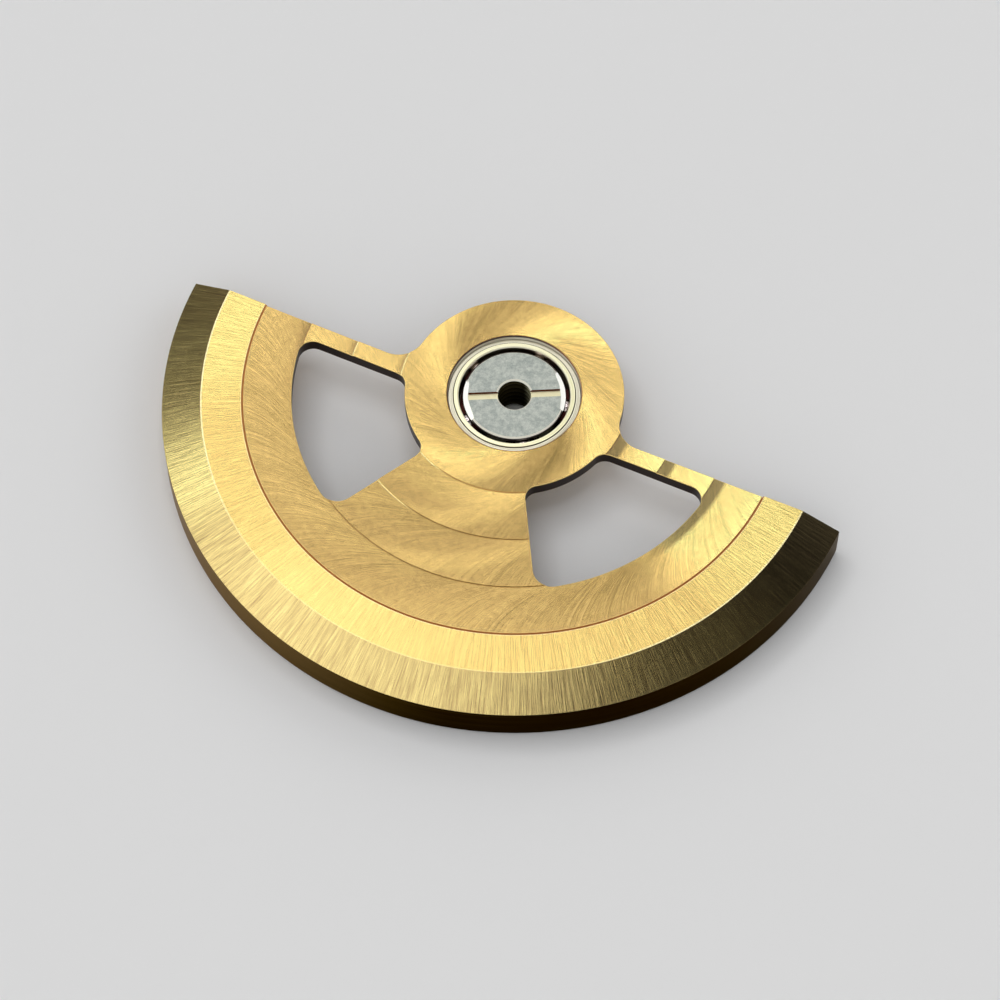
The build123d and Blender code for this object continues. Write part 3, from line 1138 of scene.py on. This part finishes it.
def crescent_start(away):
    """Radius where a crescent starts, which grows with the fourth power of the angle from
    the crescent's middle."""
    return lock_radius - crescent_width + crescent_taper * (away / crescent_half_angle) ** 4


def crescent_share(points):
    """How far points in plan lie down a crescent's steep walls: 0 outside, 1 on its floor."""
    angle = np.arctan2(points[:, 1], points[:, 0]) + slot_angle - crescent_angle
    away = np.abs((angle + np.pi / 2) % np.pi - np.pi / 2)
    inward = (np.linalg.norm(points, axis=1) - crescent_start(away)) / slot_wall
    endward = (crescent_half_angle + crescent_end_wall - away) / crescent_end_wall
    return np.clip(inward, 0, 1) * np.clip(endward, 0, 1)


def crescent_walls(middle, step, spread):
    """Line along a crescent's steep wall, there and back: in from the edge at one end, along
    the crescent's start moved outwards by the step, and out to the edge at the other end."""
    away = np.linspace(-spread, spread, crescent_steps)
    curve = (crescent_start(away) + step)[:, None] * heading(middle + away)
    ends = lock_radius * heading(middle + away[[0, -1]])
    wall = np.concatenate([ends[:1], curve, ends[1:]])
    return np.concatenate([wall, wall[-2:0:-1]])


def lock_top_height(flat, profile):
    """Height of the lock ring's top over points in plan: that of its profile, or of the slot
    or a crescent where they are lower. Returns the profile's height too."""
    points = profile[0]
    across = np.abs(flat[:, 1])
    disc = np.interp(np.linalg.norm(flat, axis=1), points[:, 0], points[:, 1])
    slot = np.interp(across, [slot_half, slot_half + slot_wall], [slot_floor, bearing_top])
    crescent = bearing_top - crescent_depth * crescent_share(flat)
    return np.minimum(disc, np.minimum(slot, crescent)), disc


def lock_top(angles, profile, lines):
    """Top of the lock ring: its profile all round, cut by the slot and the crescents."""
    points, normals = profile
    loops = [lock_radius * heading(angles), hole_radius * heading(angles)[::-1]]
    rings = lines + [radius * heading(angles) for radius in points[1:-1, 0]]
    for width in (slot_half, slot_half + slot_wall):
        near, far = np.sqrt(np.array([hole_radius, lock_radius]) ** 2 - width**2)
        for side in (1, -1):
            for end in (1, -1):
                rings.append(np.array([(end * near, side * width), (end * far, side * width)]))
    flat, faces = flat_mesh(loops, rings, [0.0])
    height, disc = lock_top_height(flat, profile)
    solid = raised(flat, height)
    radius = np.linalg.norm(flat, axis=1)
    lean = np.interp(radius, points[:, 0], normals[:, 0])
    cone = raised(flat / radius[:, None] * lean[:, None], np.sqrt(1 - lean**2))
    on_disc = (np.abs(height - disc) < height_match)[faces].all(1)
    plane = face_normals(solid, faces)[:, None]
    shading = np.where(on_disc[:, None, None], cone[faces], plane)
    middle = flat[faces].mean(1)
    reach = np.linalg.norm(middle, axis=1)
    on_face = (reach > hole_radius + hole_chamfer) & (reach < lock_face_radius)
    finish = np.where(on_face, 0, 1)
    finish[~on_disc] = np.where(np.abs(middle[~on_disc, 1]) < slot_half, 4, 5)
    finish[~on_disc & (crescent_share(middle) > 0)] = 6
    return solid, faces, shading, finish


def thread_patch(angles, top):
    """Wall of the hole from the top's height at each angle down to its lower chamfer. The
    thread is a wave in radius that moves down by its pitch in a turn and fades at both ends."""
    bottom = stem_sink + hole_chamfer
    z = top[:, None] + np.linspace(0, 1, thread_steps) * (bottom - top[:, None])
    phase = (z / thread_pitch + angles[:, None] / (2 * np.pi)) % 1
    ridge = 1 - np.abs(2 * phase - 1)
    fade = np.clip(np.minimum(top[:, None] - z, z - bottom) / thread_runout, 0, 1)
    bore = hole_radius + thread_depth * ridge * fade
    wall = raised(bore[..., None] * heading(angles)[:, None], z)
    around = np.roll(wall, -1, 0) - np.roll(wall, 1, 0)
    normal = np.cross(around, np.gradient(wall, axis=1)).reshape(-1, 3)
    quads = grid_faces(*z.shape, wrap=True)
    return wall.reshape(-1, 3), quads, normal[quads], 3


def lock_ring():
    """Upper half of the inner ring: a hollow screw with a driver slot and a thread, and a
    shallow crescent cut beside each end of the slot. It is made with its slot along X."""
    crossings, lines = [], []
    for middle in crescent_angle - slot_angle + np.array([0, np.pi]):
        wall_top = (0, crescent_half_angle + crescent_end_wall)
        wall_foot = (slot_wall, crescent_half_angle)
        for step, spread in (wall_top, wall_foot):
            lines.append(crescent_walls(middle, step, spread))
            crossings += [middle - spread, middle + spread]
    for radius in (hole_radius, lock_radius):
        for width in (slot_half, slot_half + slot_wall):
            lean = np.arcsin(width / radius)
            crossings += [lean, -lean, np.pi + lean, np.pi - lean]
    angles = np.append(full_turn(), crossings) % (2 * np.pi)
    angles = np.unique(np.round(angles, angle_digits))
    above = [
        (lock_radius, lock_edge),
        (lock_face_radius, bearing_top),
        (hole_radius + hole_chamfer, bearing_top),
        (hole_radius, bearing_top - hole_chamfer),
    ]
    above = [part[::-1] for part in ease(above, fine_break)]
    below = [
        (hole_radius, stem_sink + hole_chamfer),
        (hole_radius + hole_chamfer, stem_sink),
        (stem_radius, stem_sink),
        (stem_radius, ball_height),
        (core_race_radius, ball_height),
        race_corner(-1, 1),
        (inner_lip, ball_height + lip_rise),
        (lock_radius, ball_height + lip_rise + lock_underside),
        (lock_radius, lock_edge),
    ]
    below = ease(below, fine_break)
    outside = revolve(below, angles, 2)
    edge = outside[0][len(below[0]) - 1 :: len(below[0])]
    edge[:, 2] = lock_top_height(lock_radius * heading(angles), above)[0]
    bore_top = lock_top_height(hole_radius * heading(angles), above)[0]
    patches = [lock_top(angles, above, lines), outside, thread_patch(angles, bore_top)]
    turn = np.array(Matrix.Rotation(slot_angle, 3, "Z"))
    patches = [(p @ turn.T, q, n @ turn.T, m) for p, q, n, m in patches]
    materials = [disc_steel, chamfer_steel, core_steel, hole_steel, slot_steel, slot_side_shade]
    return mesh_object("slotted_screw", patches, materials + [crescent_steel])


def ball(number):
    """A ball from the six sides of a cube, pushed out to the sphere: a point of a side goes
    to the unit vector along axis + tan(u) first + tan(v) second."""
    angle = ball_start_angle + number * 2 * np.pi / ball_count
    centre = np.append(pitch_radius * heading(angle), ball_height)
    spread = np.tan(np.linspace(-np.pi / 4, np.pi / 4, ball_steps + 1))
    u, v = np.meshgrid(spread, spread, indexing="ij")
    patches = []
    for axis in np.concatenate([np.eye(3), -np.eye(3)]):
        first = np.roll(np.abs(axis), 1)
        second = np.cross(axis, first)
        point = unit(axis + u[..., None] * first + v[..., None] * second).reshape(-1, 3)
        faces = grid_faces(*u.shape)
        patches.append((centre + ball_radius * point, faces, point[faces], 0))
    return mesh_object(f"bearing_ball_{number + 1}", patches, [ball_steel])


def place(piece, body, node, slot):
    """The piece rides on its body and stands for its CAD node, which it hides. The slot is not
    used.
    """
    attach(piece, body)
    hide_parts(node)


place(rotor_plate(), "rotor", "rotor_plate", "plate")
place(rim_weight(), "rotor", "rim_weight", "rim")
place(outer_ring(), "rotor", "bearing_outer_ring", "ring_steel")
place(drive_gear(), "rotor", "drive_gear", "gear")
place(core(), "inner_ring", "bearing_core", "core_steel")
place(lock_ring(), "inner_ring", "slotted_lock_ring", "lock_steel")
for number in range(ball_count):
    name = f"ball_{number + 1}"
    place(ball(number), name, name, "balls")

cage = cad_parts["ball_cage"]
cage.data.materials.clear()
cage.data.materials.append(cage_bronze)

# Camera, where the photograph was taken from, in millimetres, and in metres how near and how
# far it sees, and the floor's half side and height
sensor_width = 36.0
lens = 126.7
camera_elevation = np.radians(60.36)
camera_azimuth = np.radians(24.17)
camera_roll = np.radians(0.09)
camera_target = np.array([0.886, -3.187, 0.0])
camera_distance = 122.49
clip_near = 0.001
clip_far = 10.0
floor_reach = 1.0
floor_height = -0.00002


def back_vector(azimuth, elevation):
    """Unit vector from the object to an eye at this azimuth, from -Y, and elevation."""
    flat = np.array([np.sin(azimuth), -np.cos(azimuth)]) * np.cos(elevation)
    return np.append(flat, np.sin(elevation))


def add_camera():
    """The camera looks at its target from where the photograph was taken."""
    back = back_vector(camera_azimuth, camera_elevation)
    right = np.array([np.cos(camera_azimuth), np.sin(camera_azimuth), 0])
    up = np.cross(back, right)
    c, s = np.cos(camera_roll), np.sin(camera_roll)
    axes = np.column_stack([c * right + s * up, c * up - s * right, back])
    data = bpy.data.cameras.new("camera")
    data.lens = lens
    data.sensor_width = sensor_width
    data.clip_start = clip_near
    data.clip_end = clip_far
    camera = bpy.data.objects.new("camera", data)
    bpy.context.scene.collection.objects.link(camera)
    place = (camera_target + back * camera_distance) * MM
    camera.matrix_world = Matrix.Translation(place) @ Matrix(axes.tolist()).to_4x4()
    bpy.context.scene.camera = camera


def add_floor():
    """Plain pale floor just under the part."""
    material = Finish("floor").shade(linear((240, 240, 240)), 0.8, metallic=0.0)
    data = bpy.data.meshes.new("floor")
    corners = [(-1, -1), (1, -1), (1, 1), (-1, 1)]
    corners = [(floor_reach * x, floor_reach * y, floor_height) for x, y in corners]
    data.from_pydata(corners, [], [(0, 1, 2, 3)])
    data.materials.append(material)
    floor = bpy.data.objects.new("floor", data)
    bpy.context.scene.collection.objects.link(floor)


# Light levels: 1 shows a white surface as white. A direction's place is its part along X and Y
lamp_centre = (-0.225, 0.093)
lamp_stretch = 1.09
lamp_inner = 0.25
lamp_outer = 0.385
lamp_blur = 0.015
lamp_level = 3.2
lamp_side_level = 0.5
lamp_hole_level = 1.2
sky_level = 0.07
front_level = 1.0
horizon_level = 1.0
horizon_start = 0.58
horizon_full = 0.74
front_fade = (-0.3, -0.6)
dim_centre = (-0.68, 0.36)
dim_fade = (0.3, 0.14)
dim_share = 0.85


def add_world():
    """Dim surroundings, paler in front and near the horizon but for one dim spot, with a
    large soft ring lamp overhead."""
    world = bpy.data.worlds.new("studio")
    t = Tree(world)
    x, y, _ = t.split(t.node("ShaderNodeTexCoord", output="Generated"))
    across = (x - lamp_centre[0]) / lamp_stretch
    along = y - lamp_centre[1]
    reach = t.math("SQRT", across * across + along * along)
    lit = t.ramp(reach, lamp_outer + lamp_blur, lamp_outer - lamp_blur)
    hole = t.ramp(reach, lamp_inner + lamp_blur, lamp_inner - lamp_blur)
    front = t.ramp(y, *front_fade)
    low = t.ramp(t.math("SQRT", x * x + y * y), horizon_start, horizon_full)
    aside, ahead = x - dim_centre[0], y - dim_centre[1]
    spot = t.ramp(t.math("SQRT", aside * aside + ahead * ahead), *dim_fade)
    low = low * (1 - spot * dim_share)
    level = sky_level + front * (front_level - sky_level)
    level = level + low * (horizon_level - level)
    ring = lamp_level - across / lamp_outer * lamp_side_level
    level = level + lit * (ring - level) + hole * (lamp_hole_level - ring)
    background = t.node("ShaderNodeBackground", inputs={"Strength": level})
    t.node("ShaderNodeOutputWorld", inputs={"Surface": background}, output=None)
    bpy.context.scene.world = world


add_camera()
add_floor()
add_world()

bpy.context.scene.view_settings.view_transform = "Standard"
